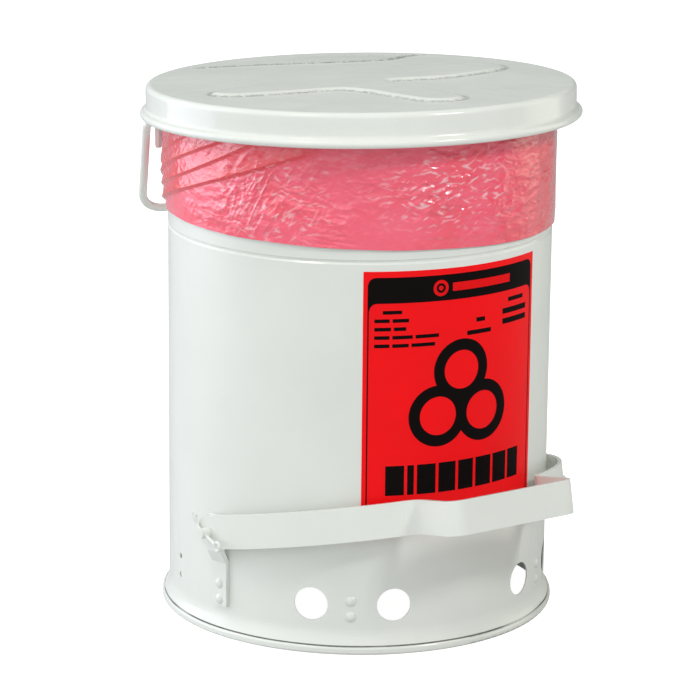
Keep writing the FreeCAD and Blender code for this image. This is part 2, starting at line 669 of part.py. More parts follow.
# ---------------------------------------------------------------------------------------
# Lid: drawn level, then turned up by its rest angle about the hinge
# ---------------------------------------------------------------------------------------
def make_lid_shell():
    """A shallow pressing: flat top, rounded edge, straight skirt and a rolled bead."""
    outer = "dims.lid_radius"
    inner = "dims.lid_radius - dims.wall"
    under = "dims.lid_top - dims.wall"
    points = [("0", under), (inner, under), (inner, "dims.lid_bead_level"),
              (outer, "dims.lid_bead_level"), (outer, "dims.lid_top"), ("0", "dims.lid_top")]
    body = revolved("lid_sheet", points)
    round_edges(body, size("lid_radius"), size("lid_top"), size("lid_edge"))
    round_edges(body, size("lid_radius") - size("wall"), size("lid_top") - size("wall"),
                size("lid_edge") - size("wall"))
    curl = primitive("Part::Torus", "lid_curl", Radius1="dims.lid_bead_centre", Radius2="dims.lid_bead",
                     Placement__Base__z="dims.lid_bead_level")
    rib = feature("lid_rib", lid_rib())
    stems = feature("lid_shell_holes", Part.makeCompound(lid_stems()))
    lid = cut("lid_shell", fused("lid_pressing", [body, curl, rib]), [stems])
    lid.Placement = LID_REST
    return lid


def lid_rib():
    """Three shallow arms pressed up out of the lid's top, with sloping sides."""
    top = size("lid_top")
    half, rise, reach = size("rib_width") / 2, size("rib_height"), size("rib_reach")
    arms = []
    for turn in (0, 180, 270):
        outlines = []
        for level, shrink in ((top - 0.2, 0.0), (top + rise, 3.0)):
            near, far, side = 0.0, reach - half - shrink, half - shrink
            tip = Part.Arc(vec(far, -side, level), vec(far + side, 0, level), vec(far, side, level))
            back = [Part.LineSegment(vec(far, side, level), vec(near, side, level)),
                    Part.LineSegment(vec(near, side, level), vec(near, -side, level)),
                    Part.LineSegment(vec(near, -side, level), vec(far, -side, level))]
            outlines.append(Part.Wire([edge.toShape() for edge in [tip] + back]))
        arm = Part.makeLoft(outlines, True, True)
        arm.rotate(vec(0, 0, 0), UP, turn)
        arms.append(arm)
    return arms[0].fuse(arms[1:]).removeSplitter()


def lid_stems():
    """The rivet shanks through the lid's skirt and the flange on it."""
    return [wall_stem(angle, level, wall=size("lid_radius")) for angle, level in LID_RIVETS]


def make_lid_hinge_arm():
    """A flange on the lid's skirt with two hooked plates that reach the hinge and the lever pin."""
    inner, low, high = size("lid_radius"), size("flange_low"), size("flange_height")
    width, deep = size("flange_width"), 40.0
    ring = Part.makeCylinder(inner + size("flange_thickness"), high, vec(0, 0, low))
    ring = ring.cut(Part.makeCylinder(inner, high, vec(0, 0, low)))
    flange = ring.common(Part.makeBox(width, deep, high, vec(-width / 2, inner - 25, low)))
    y, z = HINGE.y, HINGE.z
    pin_y, pin_z = LEVEL_LEVER.y, LEVEL_LEVER.z
    profile = [(163, low), (163, 392), (174, 392), (y + 5, z + 7), (y + 8, z - 1), (y + 5, z - 8),
               (pin_y + 6, pin_z - 6), (pin_y - 3, pin_z - 6), (pin_y - 6, pin_z - 2),
               (pin_y - 5, pin_z + 4), (pin_y + 2, pin_z + 7.5), (168.5, 369), (169, low)]
    gap, thick = size("arm_gap"), size("plate")
    plates = [side_plate(profile, x, thick) for x in (-gap - thick, gap)]
    bore = along_x(HINGE, 40, size("hinge_pin_radius") + size("running_gap"))
    seat = along_x(LEVEL_LEVER, 40, size("lever_pin_radius"))
    arm = drilled(flange.fuse(plates), [bore, seat] + lid_stems()).removeSplitter()
    return feature("lid_hinge_arm", arm, LID_REST)


def make_lid_rivets():
    solids = []
    for angle, level in LID_RIVETS:
        seat = polar(size("lid_radius") + size("flange_thickness"), angle, level)
        solids.append(rivet(seat, polar(1, angle, 0), 3.6, size("rivet_radius"),
                            size("rivet_head"), size("rivet_rise")))
    return feature("lid_hinge_rivets", Part.makeCompound(solids), LID_REST)


def make_lever_pin():
    half = size("arm_gap") + size("plate") + 1
    return feature("lever_pin", along_x(LEVER, half, size("lever_pin_radius")))


# ---------------------------------------------------------------------------------------
# Carry handle
# ---------------------------------------------------------------------------------------
def make_carry_handle():
    """Wire bail: each end turns inward along X into its ear."""
    x, y, z = size("handle_x"), size("handle_y"), size("handle_z")
    low = vec(size("handle_low_x"), size("handle_low_y"), size("handle_low_z"))
    right = [vec(size("handle_tip_x"), y, z), vec(x, y, z), low]
    left = [vec(-point.x, point.y, point.z) for point in reversed(right)]
    eye, hand = size("handle_eye_bend"), size("handle_bend")
    path = bend_path(right + left, [eye, hand, hand, eye])
    return feature("carry_handle", round_bar(path, size("handle_wire")))


# ---------------------------------------------------------------------------------------
# Build everything
# ---------------------------------------------------------------------------------------
parts = [
    make_body_shell(), make_base_skirt(), make_base_ring(), make_bottom_pan(), make_label(),
    make_liner(),
    make_pivot_bracket(-1, "pivot_bracket_left"),
    make_pivot_bracket(1, "pivot_bracket_right"),
    wall_rivets("pivot_bracket_rivets", BRACKET_RIVETS, size("plate")),
    wall_rivets("skirt_rivets", SKIRT_RIVETS, 0.0),
    make_pivot_spacers(), make_hinge_bracket(),
    wall_rivets("hinge_bracket_rivets", HINGE_RIVETS, size("plate")),
    make_hinge_pin(),
    make_handle_ear(-1, "handle_ear_left"),
    make_handle_ear(1, "handle_ear_right"),
    make_ear_rivets(),
    make_rod_guide(GUIDE_LEVELS[0], "rod_guide_upper"),
    make_rod_guide(GUIDE_LEVELS[1], "rod_guide_lower"),
    wall_rivets("rod_guide_rivets", GUIDE_RIVETS, size("guide_plate")),
    make_pedal_strap(), make_lift_crank(), make_cotter_pins(),
    make_lift_rod(), make_rod_foot(), make_rod_head(),
    make_lid_shell(), make_lid_hinge_arm(), make_lid_rivets(), make_lever_pin(),
    make_carry_handle()]
doc.recompute()

# ---------------------------------------------------------------------------------------
# Check and write
# ---------------------------------------------------------------------------------------
faults = [f"{obj.Name}: {obj.State}" for obj in doc.Objects
          if "Invalid" in obj.State or "Error" in obj.State]
for obj in parts:
    if obj.Shape.isNull() or not obj.Shape.isValid():
        faults.append(f"{obj.Label}: null or invalid shape")
if faults:
    raise RuntimeError("; ".join(faults))

os.makedirs("parts", exist_ok=True)
for obj in parts:
    obj.Shape.exportStep(f"parts/{obj.Label}.step")
    box = obj.Shape.BoundBox
    print(f"{obj.Label:24s} solids {len(obj.Shape.Solids)} volume {obj.Shape.Volume:10.1f} "
          f"x {box.XMin:7.1f} {box.XMax:7.1f} y {box.YMin:7.1f} {box.YMax:7.1f} "
          f"z {box.ZMin:7.1f} {box.ZMax:7.1f}")
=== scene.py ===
import math

import bpy
import numpy as np
from mathutils import Matrix, Vector, noise


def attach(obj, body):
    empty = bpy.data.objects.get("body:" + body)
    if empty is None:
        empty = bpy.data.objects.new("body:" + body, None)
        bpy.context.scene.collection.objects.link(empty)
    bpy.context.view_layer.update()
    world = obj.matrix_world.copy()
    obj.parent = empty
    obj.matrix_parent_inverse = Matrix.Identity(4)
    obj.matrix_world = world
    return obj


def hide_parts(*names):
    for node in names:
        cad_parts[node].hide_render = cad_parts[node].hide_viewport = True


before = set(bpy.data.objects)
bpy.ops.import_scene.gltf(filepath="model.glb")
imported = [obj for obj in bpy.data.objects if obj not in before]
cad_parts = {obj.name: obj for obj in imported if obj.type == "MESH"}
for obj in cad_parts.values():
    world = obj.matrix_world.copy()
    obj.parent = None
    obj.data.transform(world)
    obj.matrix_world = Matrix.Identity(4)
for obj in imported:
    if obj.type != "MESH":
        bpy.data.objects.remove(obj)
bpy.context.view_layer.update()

# The visual model of a white foot-operated waste bin with an overhanging lid and a red bag.
# Shapes are in millimetres until a mesh is made; the camera, lights, floor and materials are
# in metres. Angles round the bin are in degrees from the front (-Y), positive towards +X.
MM = 0.001
WHITE = (0.79, 0.805, 0.755)

scene = bpy.context.scene


# ---------------------------------------------------------------------------------------
# Camera, light and floor
# ---------------------------------------------------------------------------------------
CAMERA_PLACE = (-1.3361, -1.9587, 0.7989)
CAMERA_AZIMUTH, CAMERA_PITCH, CAMERA_ROLL = math.radians(34.3), math.radians(14.32), 0.0106
CAMERA_LENS, CAMERA_SENSOR, CAMERA_SHIFT = 164.2, 36.0, -0.0126

PANEL_TARGET = Vector((0, 0, 0.2))
# name, azimuth, elevation, distance, width, height, radiance, colour
PANELS = (
    ("softbox_left", -134, 14, 1.7, 1.3, 1.5, 1.9, (0.99, 1.0, 1.2)),
    ("lamp_top_left", -75, 58, 1.7, 0.26, 0.26, 12.6, (1.15, 1.0, 0.8)),
    ("key_front", 15, 40, 1.7, 0.25, 0.25, 42.0, (1, 1, 1)),
    ("fill_front", -34, 18, 1.8, 1.2, 1.0, 0.42, (0.97, 1.0, 1.1)),
    ("fill_right", 75, 15, 1.7, 1.0, 1.2, 1.3, (1.02, 1.0, 0.85)),
)

STUDIO_BRIGHT_SIDE = -100
STUDIO_COLOUR, STUDIO_STRENGTH = (0.945, 1.0, 1.0, 1), 1.265

FLOOR_HALF, FLOOR_DROP = 8.0, 0.0002
FLOOR_GREY, FLOOR_GLOW, FLOOR_SEEN_GLOW = 0.5, 0.09, 0.86


def make_camera():
    forward = Vector((math.sin(CAMERA_AZIMUTH) * math.cos(CAMERA_PITCH),
                      math.cos(CAMERA_AZIMUTH) * math.cos(CAMERA_PITCH),
                      -math.sin(CAMERA_PITCH)))
    level_right = Vector((math.cos(CAMERA_AZIMUTH), -math.sin(CAMERA_AZIMUTH), 0))
    level_up = level_right.cross(forward)
    right = level_right * math.cos(CAMERA_ROLL) + level_up * math.sin(CAMERA_ROLL)
    up = level_up * math.cos(CAMERA_ROLL) - level_right * math.sin(CAMERA_ROLL)
    data = bpy.data.cameras.new("camera")
    data.sensor_width = CAMERA_SENSOR
    data.lens = CAMERA_LENS
    data.shift_x = CAMERA_SHIFT
    data.clip_start, data.clip_end = 0.05, 50
    camera = bpy.data.objects.new("camera", data)
    camera.matrix_world = Matrix.Translation(CAMERA_PLACE) @ Matrix(
        (right, up, -forward)).transposed().to_4x4()
    scene.collection.objects.link(camera)
    scene.camera = camera


def toward(azimuth, elevation):
    """A direction from the bin: azimuth in degrees from the front, positive to the right."""
    a, e = math.radians(azimuth), math.radians(elevation)
    return Vector((math.sin(a) * math.cos(e), -math.cos(a) * math.cos(e), math.sin(e)))


def make_panel(name, azimuth, elevation, distance, width, height, radiance, colour):
    """A soft box that faces the middle of the bin, as bright as the radiance says."""
    data = bpy.data.lights.new(name, "AREA")
    data.shape = "RECTANGLE"
    data.size, data.size_y = width, height
    data.energy = radiance * width * height * math.pi
    data.color = colour
    panel = bpy.data.objects.new(name, data)
    direction = toward(azimuth, elevation)
    panel.location = PANEL_TARGET + direction * distance
    panel.rotation_mode = "QUATERNION"
    panel.rotation_quaternion = (-direction).to_track_quat("-Z", "Y")
    panel.visible_camera = False
    scene.collection.objects.link(panel)


def camera_switch(tree, for_light, for_camera, output):
    """Feeds the output with one shader for the bin's light and another for the camera."""
    path = tree.nodes.new("ShaderNodeLightPath")
    mix = tree.nodes.new("ShaderNodeMixShader")
    tree.links.new(path.outputs["Is Camera Ray"], mix.inputs["Fac"])
    tree.links.new(for_light.outputs[0], mix.inputs[1])
    tree.links.new(for_camera.outputs[0], mix.inputs[2])
    tree.links.new(mix.outputs[0], output.inputs["Surface"])


def make_world():
    """White behind the bin; for its light, a studio that is bright at the left and rear."""
    world = bpy.data.worlds.new("studio")
    scene.world = world
    world.use_nodes = True
    tree = world.node_tree
    tree.nodes.clear()
    seen = tree.nodes.new("ShaderNodeBackground")
    seen.inputs["Color"].default_value = (1, 1, 1, 1)
    coordinates = tree.nodes.new("ShaderNodeTexCoord")
    side = tree.nodes.new("ShaderNodeVectorMath")
    side.operation = "DOT_PRODUCT"
    side.inputs[1].default_value = toward(STUDIO_BRIGHT_SIDE, 0)
    share = tree.nodes.new("ShaderNodeMapRange")
    share.inputs["From Min"].default_value = -1.0
    share.inputs["From Max"].default_value = 1.0
    ramp = tree.nodes.new("ShaderNodeValToRGB")
    ramp.color_ramp.elements[0].color = (0.0, 0.0, 0.0, 1)
    ramp.color_ramp.elements[1].color = STUDIO_COLOUR
    studio = tree.nodes.new("ShaderNodeBackground")
    studio.inputs["Strength"].default_value = STUDIO_STRENGTH
    tree.links.new(coordinates.outputs["Generated"], side.inputs[0])
    tree.links.new(side.outputs["Value"], share.inputs["Value"])
    tree.links.new(share.outputs["Result"], ramp.inputs["Fac"])
    tree.links.new(ramp.outputs["Color"], studio.inputs["Color"])
    camera_switch(tree, studio, seen, tree.nodes.new("ShaderNodeOutputWorld"))


def make_floor():
    """A plain white table top: seen lit to pure white, and a soft grey to the bin's light."""
    half = FLOOR_HALF
    mesh = bpy.data.meshes.new("floor")
    mesh.from_pydata([(-half, -half, 0), (half, -half, 0), (half, half, 0), (-half, half, 0)], [],
                     [(0, 1, 2, 3)])
    floor = bpy.data.objects.new("floor", mesh)
    floor.location.z = -FLOOR_DROP
    material = bpy.data.materials.new("floor_white")
    material.use_nodes = True
    tree = material.node_tree
    shader = tree.nodes["Principled BSDF"]
    shader.inputs["Base Color"].default_value = (FLOOR_GREY, FLOOR_GREY, FLOOR_GREY, 1)
    shader.inputs["Roughness"].default_value = 0.9
    shader.inputs["Specular IOR Level"].default_value = 0.0
    shader.inputs["Emission Color"].default_value = (1, 1, 1, 1)
    shader.inputs["Emission Strength"].default_value = FLOOR_GLOW
    lit = tree.nodes.new("ShaderNodeEmission")
    lit.inputs["Strength"].default_value = FLOOR_SEEN_GLOW
    seen = tree.nodes.new("ShaderNodeAddShader")
    tree.links.new(shader.outputs[0], seen.inputs[0])
    tree.links.new(lit.outputs[0], seen.inputs[1])
    camera_switch(tree, shader, seen, tree.nodes["Material Output"])
    mesh.materials.append(material)
    scene.collection.objects.link(floor)


# ---------------------------------------------------------------------------------------
# Materials
# ---------------------------------------------------------------------------------------
FILM_SINGLE, FILM_SINGLE_DEEP = (0.98, 0.128, 0.205), (0.93, 0.088, 0.138)
FILM_FOLDED, FILM_GLINT = (0.84, 0.032, 0.048), (1.0, 0.62, 0.66)
FILM_STRETCH = (1.0, 1.0, 2.6)
# scale, strength and distance of the film's large and small crumples
FILM_CRUMPLES = ((62.0, 0.50, 0.0034), (150.0, 0.42, 0.0014))
LABEL_RED, LABEL_RED_DEEP = (0.97, 0.007, 0.010), (0.92, 0.008, 0.011)
INK_BLACK, INK_RED = (0.006, 0.004, 0.004), (0.88, 0.009, 0.011)
ZINC = (0.62, 0.62, 0.60)
SEAM_DARK, SEAM_PALE = (0.10, 0.10, 0.09), (0.26, 0.26, 0.23)


def shade(colour, factor):
    return tuple(c * factor for c in colour)


class Look:
    """A Principled material with short names for the nodes that feed it."""

    def __init__(self, name, colour, roughness, specular=0.5):
        self.material = bpy.data.materials.new(name)
        self.material.use_nodes = True
        self.tree = self.material.node_tree
        self.shader = self.tree.nodes["Principled BSDF"]
        self.set("Base Color", colour)
        self.set("Roughness", roughness)
        self.set("Specular IOR Level", specular)
        self.place = self.tree.nodes.new("ShaderNodeTexCoord").outputs["Object"]
        self.bumps = None

    def feed(self, socket, value):
        """Links another node's output to the socket, or sets the socket's own value."""
        if isinstance(value, bpy.types.NodeSocket):
            self.tree.links.new(value, socket)
        elif isinstance(value, tuple):
            socket.default_value = (*value, 1)
        else:
            socket.default_value = value

    def set(self, socket, value):
        self.feed(self.shader.inputs[socket], value)

    def node(self, kind, **inputs):
        made = self.tree.nodes.new(kind)
        for key, value in inputs.items():
            self.feed(made.inputs[key.replace("_", " ")], value)
        return made

    def attribute(self, name):
        """The numbers that a mesh carries under that name."""
        made = self.tree.nodes.new("ShaderNodeAttribute")
        made.attribute_name = name
        return made.outputs["Fac"]

    def noise(self, scale, detail=2.0, roughness=0.5, distortion=0.0):
        made = self.node("ShaderNodeTexNoise", Vector=self.place, Scale=scale,
                         Detail=detail, Roughness=roughness, Distortion=distortion)
        return made.outputs["Fac"]

    def ramp(self, factor, low, high):
        """A grey from low to high, each a (position, grey) pair."""
        made = self.node("ShaderNodeValToRGB", Fac=factor)
        for element, (position, grey) in zip(made.color_ramp.elements, (low, high)):
            element.position = position
            element.color = (grey, grey, grey, 1)
        return made.outputs["Color"]

    def mix(self, factor, first, second, blend="MIX"):
        made = self.tree.nodes.new("ShaderNodeMix")
        made.data_type = "RGBA"
        made.blend_type = blend
        # the colour sockets of this node share their names with its number and vector ones
        for number, value in ((0, factor), (6, first), (7, second)):
            self.feed(made.inputs[number], value)
        return made.outputs[2]

    def times(self, first, second):
        made = self.tree.nodes.new("ShaderNodeMath")
        made.operation = "MULTIPLY"
        self.feed(made.inputs[0], first)
        self.feed(made.inputs[1], second)
        return made.outputs[0]

    def bump(self, height, strength, distance):
        made = self.node("ShaderNodeBump", Height=height, Strength=strength, Distance=distance)
        if self.bumps:
            self.tree.links.new(self.bumps, made.inputs["Normal"])
        self.bumps = made.outputs["Normal"]
        self.set("Normal", self.bumps)


def powder_coat(name, colour, peel=1.0, speck=0.35, with_painted_shade=False):
    """Glossy paint: a fine orange peel, a slight cloudiness and a few specks; where the mesh
    carries painted shade it is coarser and greyer, a speckled painted shade with dust."""
    look = Look(name, colour, 0.16)
    cloud = look.ramp(look.noise(9.0, 3.0, 0.55), (0.35, 0.0), (0.65, 1.0))
    tone = look.mix(cloud, colour, shade(colour, 0.955))
    dirt = look.ramp(look.noise(900.0, 1.0), (0.755, 0.0), (0.80, speck))
    tone = look.mix(dirt, tone, shade(colour, 0.72))
    if with_painted_shade:
        # painted shade: the lid's creases are darkened and speckled, with some dust
        shade_speckle = look.ramp(look.noise(240.0, 3.0, 0.7), (0.42, 0.15), (0.56, 1.0))
        shade_and_dust = look.times(look.attribute("painted_shade"), shade_speckle)
        tone = look.mix(shade_and_dust, tone, shade(colour, 0.56))
        look.bump(shade_and_dust, 0.7, 0.0012)
    look.set("Base Color", tone)
    smudge = look.noise(14.0, 4.0, 0.6, 0.4)
    look.set("Roughness", look.ramp(smudge, (0.3, 0.14), (0.7, 0.24)))
    look.bump(look.noise(260.0, 2.0, 0.5), 0.10 * peel, 0.0006)
    look.bump(look.noise(48.0, 1.0, 0.4), 0.10 * peel, 0.0016)
    return look.material


def plated(name, colour, roughness):
    look = Look(name, colour, roughness)
    look.set("Metallic", 1.0)
    streak = look.noise(120.0, 3.0, 0.6)
    look.set("Roughness", look.ramp(streak, (0.3, roughness * 0.8), (0.7, roughness * 1.4)))
    look.set("Base Color", look.mix(streak, colour, shade(colour, 0.8)))
    look.bump(look.noise(700.0, 2.0), 0.12, 0.0003)
    return look.material


def label_red():
    look = Look("label_red", LABEL_RED, 0.36, 0.08)
    mottle = look.ramp(look.noise(30.0), (0.35, 0.0), (0.7, 1.0))
    look.set("Base Color", look.mix(mottle, LABEL_RED, LABEL_RED_DEEP))
    look.bump(look.noise(60.0), 0.10, 0.0008)
    return look.material


def label_ink(name, colour):
    look = Look(name, colour, 0.45, 0.03)
    grain = look.ramp(look.noise(1500.0, 2.0, 0.6), (0.4, 0.0), (0.75, 1.0))
    worn = tuple(c * 0.7 + 0.002 for c in colour)
    look.set("Base Color", look.mix(grain, colour, worn))
    look.bump(look.noise(60.0), 0.08, 0.0008)
    return look.material


def bag_film():
    """Thin red film: paler where one layer lies on the white can, deeper where it is folded and
    where shade is painted in, and nearly white in strokes of painted glint where it is crumpled."""
    look = Look("bag_film", FILM_SINGLE, 0.2, 0.7)
    cloud = look.ramp(look.noise(22.0, 4.0, 0.6, 0.6), (0.36, 0.0), (0.66, 1.0))
    single = look.mix(cloud, FILM_SINGLE, FILM_SINGLE_DEEP)
    # deeper red where the film is folded, and painted shade on its right side and under its
    # pleats' edges
    tone = look.mix(look.attribute("layers_and_shade"), single, FILM_FOLDED)
    look.set("Base Color", look.mix(look.attribute("glint"), tone, FILM_GLINT))
    wisp = look.noise(70.0, 3.0, 0.6, 1.2)
    look.set("Roughness", look.ramp(wisp, (0.3, 0.14), (0.7, 0.26)))
    look.set("Coat Weight", 0.6)
    look.set("Coat Roughness", 0.07)
    stretched = look.node("ShaderNodeMapping", Vector=look.place)
    stretched.inputs["Scale"].default_value = FILM_STRETCH
    wander = look.node("ShaderNodeTexNoise", Vector=look.place, Scale=38.0, Detail=2.0)
    bent = look.mix(0.028, stretched.outputs["Vector"], wander.outputs["Color"], "ADD")
    patchy = look.ramp(look.noise(19.0), (0.40, 0.15), (0.60, 1.0))
    for scale, strength, distance in FILM_CRUMPLES:
        facets = look.node("ShaderNodeTexVoronoi", Vector=bent, Scale=scale)
        look.bump(look.times(facets.outputs["Distance"], patchy), strength, distance)
    return look.material


def seam_shade_and_dust():
    """A dark ring of painted shade with dirt in a joint, here and there bridged by the paint."""
    look = Look("seam_shade_and_dust", SEAM_DARK, 0.8, 0.2)
    shade_and_dust = look.noise(160.0, 3.0, 0.6)
    bridged = look.ramp(look.noise(9.0, 2.0, 0.6), (0.47, 0.0), (0.58, 0.85))
    look.set("Base Color", look.mix(bridged, look.mix(shade_and_dust, SEAM_DARK, SEAM_PALE), WHITE))
    look.bump(shade_and_dust, 0.3, 0.0005)
    return look.material


# ---------------------------------------------------------------------------------------
# Mesh helpers
# ---------------------------------------------------------------------------------------
def make_object(name, points, faces, material, body):
    """A smooth-shaded mesh from points in millimetres; it rides on the body."""
    mesh = bpy.data.meshes.new(name)
    mesh.from_pydata((np.asarray(points, float) * MM).tolist(), [], faces)
    mesh.validate()
    mesh.shade_smooth()
    mesh.materials.append(material)
    made = bpy.data.objects.new(name, mesh)
    scene.collection.objects.link(made)
    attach(made, body)
    return made


def fill_attribute(made, name, values):
    attribute = made.data.attributes.new(name, "FLOAT", "POINT")
    attribute.data.foreach_set("value", np.asarray(values, np.float32))


def grid_faces(rows, columns, start=0, closed=False):
    """Quads of a grid of rows by columns points; closed joins the last column to the first."""
    faces = []
    for i in range(rows - 1):
        for j in range(columns if closed else columns - 1):
            k = (j + 1) % columns
            faces.append((start + i * columns + j, start + i * columns + k,
                          start + (i + 1) * columns + k, start + (i + 1) * columns + j))
    return faces


def smoothstep(low, high, value):
    t = np.clip((np.asarray(value, float) - low) / (high - low), 0, 1)
    return t * t * (3 - 2 * t)


def round_wall(radius, angle, height):
    """Points at a radius, an angle in degrees from the front, and a height."""
    turn = np.radians(angle)
    return np.stack([radius * np.sin(turn), -radius * np.cos(turn), height + 0 * turn], -1)


def bell(offset, width):
    """1 where the offset is 0, falling away over about that width."""
    return np.exp(-(offset / width) ** 2)


def closed_curve(points, steps=8):
    """A smooth closed curve through the points, with that many steps between each pair."""
    points = np.asarray(points, float)
    out = []
    for i in range(len(points)):
        a, b, c, d = (points[(i + k) % len(points)] for k in (-1, 0, 1, 2))
        for t in np.arange(steps) / steps:
            out.append(0.5 * (2 * b + (c - a) * t + (2 * a - 5 * b + 4 * c - d) * t ** 2
                              + (3 * b - a - 3 * c + d) * t ** 3))
    return np.array(out)


# ---------------------------------------------------------------------------------------
# Label artwork: plain shapes of ink, lying on the red film
# ---------------------------------------------------------------------------------------
LABEL_SURFACE = 145.85
LABEL_LEFT, LABEL_RIGHT = -33.2, 26.7
LABEL_BOTTOM, LABEL_TOP = 98.6, 288.5
LABEL_CENTRE = (LABEL_LEFT + LABEL_RIGHT) / 2
LABEL_WIDTH = math.radians(LABEL_RIGHT - LABEL_LEFT) * LABEL_SURFACE
INK, INK_ROOT = 0.08, 0.04

# Across the label from its middle, and up from the floor
HEADER_EDGE, HEADER_TOP = LABEL_WIDTH / 2 - 3.2, LABEL_TOP - 4.5
HEADER_LOW, HEADER_CORNER = HEADER_TOP - 19.0, 6.0
HEADER_COLUMNS = 160
SIDE_LINE = 0.9
MARK_X, MARK_Z = -18.5, HEADER_TOP - 9.6
# dashes as (left, right, low, high), made from each row's left end and the dashes' lengths
DASH_GAP, DASH_HEIGHT, ROW_PITCH = 2.2, 2.6, 6.2
DASH_ROWS = ((-62.0, (14,)), (-68.0, (11, 12)), (-68.0, (12, 9)), (-68.0, (11, 15, 18)),
             (-68.0, (11, 12, 18)))
DASHES_LOW = 257.0
SINGLE_DASHES = ((44.0, 62.0, 256.5, 259.6), (38.0, 66.0, 247.9, 252.0),
                 (38.0, 66.0, 240.3, 244.4), (12.0, 20.0, 246.0, 249.2),
                 (4.0, 26.0, 237.0, 240.2), (42.0, 60.0, 104.5, 106.3))
EMBLEM_Z, EMBLEM_REACH = 190.0, 22.0
BLOCKS_LEFT, BLOCKS_LOW, BLOCKS_HIGH, BLOCK_GAP = -58.8, 121.0, 143.4, 2.4
BLOCKS = (14.0, 5.0, 14.5, 14.0, 13.0, 14.5, 14.0, 12.5)

ink_parts = {"black": [], "red": []}


def on_label(x, z, rise):
    """A point x mm to the right of the label's middle and at height z, rise above the film."""
    angle = LABEL_CENTRE + np.degrees(np.asarray(x, float) / LABEL_SURFACE)
    return round_wall(LABEL_SURFACE + rise, angle, np.asarray(z, float))


def closed_patch(front_x, front_z, rise, closed=False):
    """A thin closed solid of ink from a grid of points; rows by columns."""
    rows, columns = front_x.shape
    front = on_label(front_x, front_z, rise).reshape(-1, 3)
    back = on_label(front_x, front_z, rise - INK - INK_ROOT).reshape(-1, 3)
    count = rows * columns
    faces = [f[::-1] for f in grid_faces(rows, columns, 0, closed)]
    faces += grid_faces(rows, columns, count, closed)
    borders = [[r * columns + c for c in range(columns)] for r in (0, rows - 1)]
    if not closed:
        borders += [[r * columns + c for r in range(rows)] for c in (0, columns - 1)]
    for number, border in enumerate(borders):
        ring = border + [border[0]] if closed else border
        for a, b in zip(ring, ring[1:]):
            face = (a, b, b + count, a + count)
            faces.append(face if number in (0, 3) else face[::-1])
    return np.vstack([front, back]), faces


def band(kind, left, right, low, high, rise=INK, columns=None):
    """Ink between two heights, which may be numbers or functions of x."""
    columns = columns or max(2, int((right - left) / 2) + 1)
    x = np.linspace(left, right, columns)
    low_z = low(x) if callable(low) else np.full(columns, float(low))
    high_z = high(x) if callable(high) else np.full(columns, float(high))
    ink_parts[kind].append(closed_patch(np.stack([x, x]), np.stack([low_z, high_z]), rise))


def ring(kind, x, z, inner, outer, rise=INK, count=64):
    """A round ring of ink, or a disc when inner is close to nothing."""
    turn = np.linspace(0, 2 * math.pi, count, endpoint=False)
    radii = np.array([[inner], [(inner + outer) / 2], [outer]])
    ink_parts[kind].append(
        closed_patch(x + radii * np.cos(turn), z + radii * np.sin(turn), rise, True))


def rounded(x, level, edge):
    """The height of a line at that level whose ends at the edges turn down round a corner."""
    inward = np.clip(HEADER_CORNER - (edge - np.abs(x)), 0, HEADER_CORNER)
    return level - HEADER_CORNER + np.sqrt(HEADER_CORNER ** 2 - inward ** 2)


def draw_header():
    """The dark field along the label's top, its side lines, and a dot, ring and bar in it."""
    band("black", -HEADER_EDGE, HEADER_EDGE,
         lambda x: rounded(x, HEADER_LOW, HEADER_EDGE - 1.0),
         lambda x: rounded(x, HEADER_TOP, HEADER_EDGE), INK, HEADER_COLUMNS)
    for side in (-1, 1):
        low, high = sorted((side * HEADER_EDGE, side * (HEADER_EDGE - SIDE_LINE)))
        band("black", low, high, LABEL_BOTTOM + 0.4, HEADER_LOW - HEADER_CORNER + 0.5, INK, 2)
    ring("red", MARK_X, MARK_Z, 3.6, 6.0, INK * 2)
    ring("red", MARK_X, MARK_Z, 0.05, 1.8, INK * 2, 32)
    band("red", -9.0, 45.0, HEADER_TOP - 12.6, HEADER_TOP - 6.4, INK * 2)


def draw_dashes():
    """Dashes where a label has small print."""
    for row, (x, lengths) in enumerate(DASH_ROWS):
        low = DASHES_LOW - row * ROW_PITCH
        for length in lengths:
            band("black", x, x + length, low, low + DASH_HEIGHT)
            x += length + DASH_GAP
    for dash in SINGLE_DASHES:
        band("black", *dash)


def draw_emblem():
    """Three plain rings round a dot."""
    for number in range(3):
        turn = math.radians(90 + 120 * number)
        ring("black", EMBLEM_REACH * math.cos(turn), EMBLEM_Z + EMBLEM_REACH * math.sin(turn),
             14.5, 23.0, INK * (1 + 0.25 * number), 96)
    ring("black", 0.0, EMBLEM_Z, 0.05, 6.5, INK * 2, 40)


def draw_blocks():
    """A row of plain blocks where a label has its bold line."""
    x = BLOCKS_LEFT
    for block in BLOCKS:
        band("black", x, x + block, BLOCKS_LOW, BLOCKS_HIGH)
        x += block + BLOCK_GAP


def draw_label():
    draw_header()
    draw_dashes()
    draw_emblem()
    draw_blocks()
    for kind, look in (("black", label_ink("ink_black", INK_BLACK)),
                       ("red", label_ink("ink_red", INK_RED))):
        points, faces = [], []
        for part_points, part_faces in ink_parts[kind]:
            faces += [tuple(i + len(points) for i in face) for face in part_faces]
            points += part_points.tolist()
        made = make_object("label_print_" + kind, points, faces, look, "can")
        made.data.shade_flat()


# ---------------------------------------------------------------------------------------
# Lid: a pressed cover with a soft three-armed rib and a curled edge
# ---------------------------------------------------------------------------------------
HINGE_Y, HINGE_Z = 186.0, 374.0
LID_REST_TILT = math.radians(1.6)
LID_TOP, LID_RADIUS, LID_EDGE, LID_SHEET = 397.0, 161.7, 4.0, 1.0
LID_FLAT, LID_INSIDE = LID_RADIUS - LID_EDGE, LID_RADIUS - LID_SHEET
BEAD_RADIUS, BEAD_LEVEL, BEAD = 163.2, 375.0, 3.0
LID_SEGMENTS, RELIEF_PITCH = 384, 1.1

